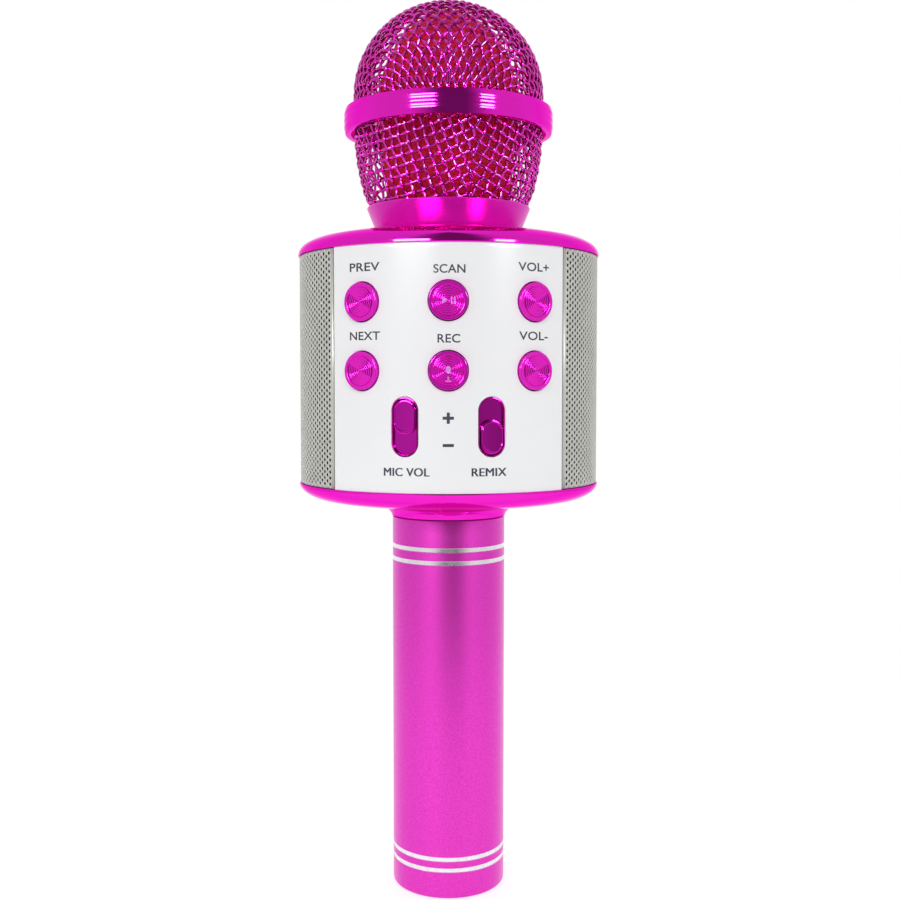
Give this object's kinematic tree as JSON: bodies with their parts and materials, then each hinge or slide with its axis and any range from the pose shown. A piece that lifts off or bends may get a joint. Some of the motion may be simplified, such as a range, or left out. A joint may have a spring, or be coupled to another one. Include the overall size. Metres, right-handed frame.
{
  "type": "toy microphone",
  "caption": "Hand-held toy karaoke microphone: slim round handle, short loudspeaker drum with buttons and slide controls, and a woven wire ball head with a band.",
  "frame": {"origin": "centre of the flat end of the handle, which the microphone stands on", "axes": "+Z along the handle to the top of the head, -Y out of the control panel, +X to the right of a person facing the panel"},
  "size_m": [0.0826, 0.0838, 0.244],
  "materials": {
    "plated_abs": "mirror plated and tinted magenta, gloss",
    "anodised_tube": "bead-blasted and anodised magenta, satin",
    "white_panel": "moulded, gloss white with a printed legend",
    "speaker_grille": "perforated steel sheet, grey paint, satin",
    "woven_wire": "crimped steel wire, plated and tinted magenta",
    "foam": "open-cell foam, crimson, matte",
    "black_plastic": "moulded, black, matte",
    "black_rubber": "moulded, black, matte",
    "board": "glass-fibre board with green mask",
    "steel": "stamped and plated, satin",
    "ferrite": "sintered, dark grey, matte",
    "speaker_paper": "pressed paper, black, matte",
    "cell_wrap": "shrink sleeve over the cell",
    "pale_foam": "cut foam sheet, off-white, matte",
    "lead_wire": "insulated wire",
    "clear_lens": "moulded, clear, gloss"
  },
  "bodies": {
    "casing": {"handle_tube": "anodised_tube", "end_plug": "black_plastic", "battery_cell": "cell_wrap", "battery_sleeve": "pale_foam", "battery_lead": "lead_wire", "bottom_cap": "plated_abs", "top_cap": "plated_abs", "front_panel": "white_panel", "rear_panel": "white_panel", "speaker_grille_left": "speaker_grille", "speaker_grille_right": "speaker_grille", "capsule_post": "black_plastic", "shock_mount": "black_rubber", "mic_capsule": "steel", "capsule_lead": "lead_wire", "chassis": "black_plastic", "main_board": "board", "port_board": "board", "usb_socket": "steel", "card_slot": "steel", "charge_socket": "steel", "audio_jack": "black_plastic", "power_switch": "steel", "status_lamp": "clear_lens", "speaker_basket_left": "steel", "speaker_magnet_left": "ferrite", "speaker_cone_left": "speaker_paper", "speaker_basket_right": "steel", "speaker_magnet_right": "ferrite", "speaker_cone_right": "speaker_paper", "board_screw_1": "steel", "board_screw_2": "steel", "board_screw_3": "steel", "board_screw_4": "steel", "prev_switch": "black_plastic", "scan_switch": "black_plastic", "volume_up_switch": "black_plastic", "next_switch": "black_plastic", "record_switch": "black_plastic", "volume_down_switch": "black_plastic", "mic_volume_well": "plated_abs", "mic_volume_potentiometer": "steel", "remix_well": "plated_abs", "remix_potentiometer": "steel"},
    "grille_head": {"upper_grille": "woven_wire", "lower_grille": "woven_wire", "grille_band": "plated_abs", "grille_collar": "plated_abs", "foam_windscreen": "foam"},
    "prev_button": {"prev_button": "plated_abs"},
    "scan_button": {"scan_button": "plated_abs"},
    "volume_up_button": {"volume_up_button": "plated_abs"},
    "next_button": {"next_button": "plated_abs"},
    "record_button": {"record_button": "plated_abs"},
    "volume_down_button": {"volume_down_button": "plated_abs"},
    "mic_volume_knob": {"mic_volume_knob": "plated_abs"},
    "remix_knob": {"remix_knob": "plated_abs"},
    "power_knob": {"power_knob": "black_plastic"}
  },
  "joints": [
    {"name": "prev_press", "type": "slide", "parent": "casing", "child": "prev_button", "axis": [0.5255, 0.8508, 0], "range_m": [0, 0.0007], "stiffness_N_per_m": 1500},
    {"name": "scan_press", "type": "slide", "parent": "casing", "child": "scan_button", "axis": [0, 1, 0], "range_m": [0, 0.0007], "stiffness_N_per_m": 1500},
    {"name": "volume_up_press", "type": "slide", "parent": "casing", "child": "volume_up_button", "axis": [-0.5255, 0.8508, 0], "range_m": [0, 0.0007], "stiffness_N_per_m": 1500},
    {"name": "next_press", "type": "slide", "parent": "casing", "child": "next_button", "axis": [0.5255, 0.8508, 0], "range_m": [0, 0.0007], "stiffness_N_per_m": 1500},
    {"name": "record_press", "type": "slide", "parent": "casing", "child": "record_button", "axis": [0, 1, 0], "range_m": [0, 0.0007], "stiffness_N_per_m": 1500},
    {"name": "volume_down_press", "type": "slide", "parent": "casing", "child": "volume_down_button", "axis": [-0.5255, 0.8508, 0], "range_m": [0, 0.0007], "stiffness_N_per_m": 1500},
    {"name": "mic_volume_slide", "type": "slide", "parent": "casing", "child": "mic_volume_knob", "axis": [0, 0, 1], "range_m": [-0.0049, 0]},
    {"name": "remix_slide", "type": "slide", "parent": "casing", "child": "remix_knob", "axis": [0, 0, 1], "range_m": [0, 0.0049]},
    {"name": "power_slide", "type": "slide", "parent": "casing", "child": "power_knob", "axis": [1, 0, 0], "range_m": [0, 0.0044]},
    {"name": "head_lift", "type": "slide", "parent": "casing", "child": "grille_head", "axis": [0, 0, 1], "range_m": [0, 0.05]}
  ]
}
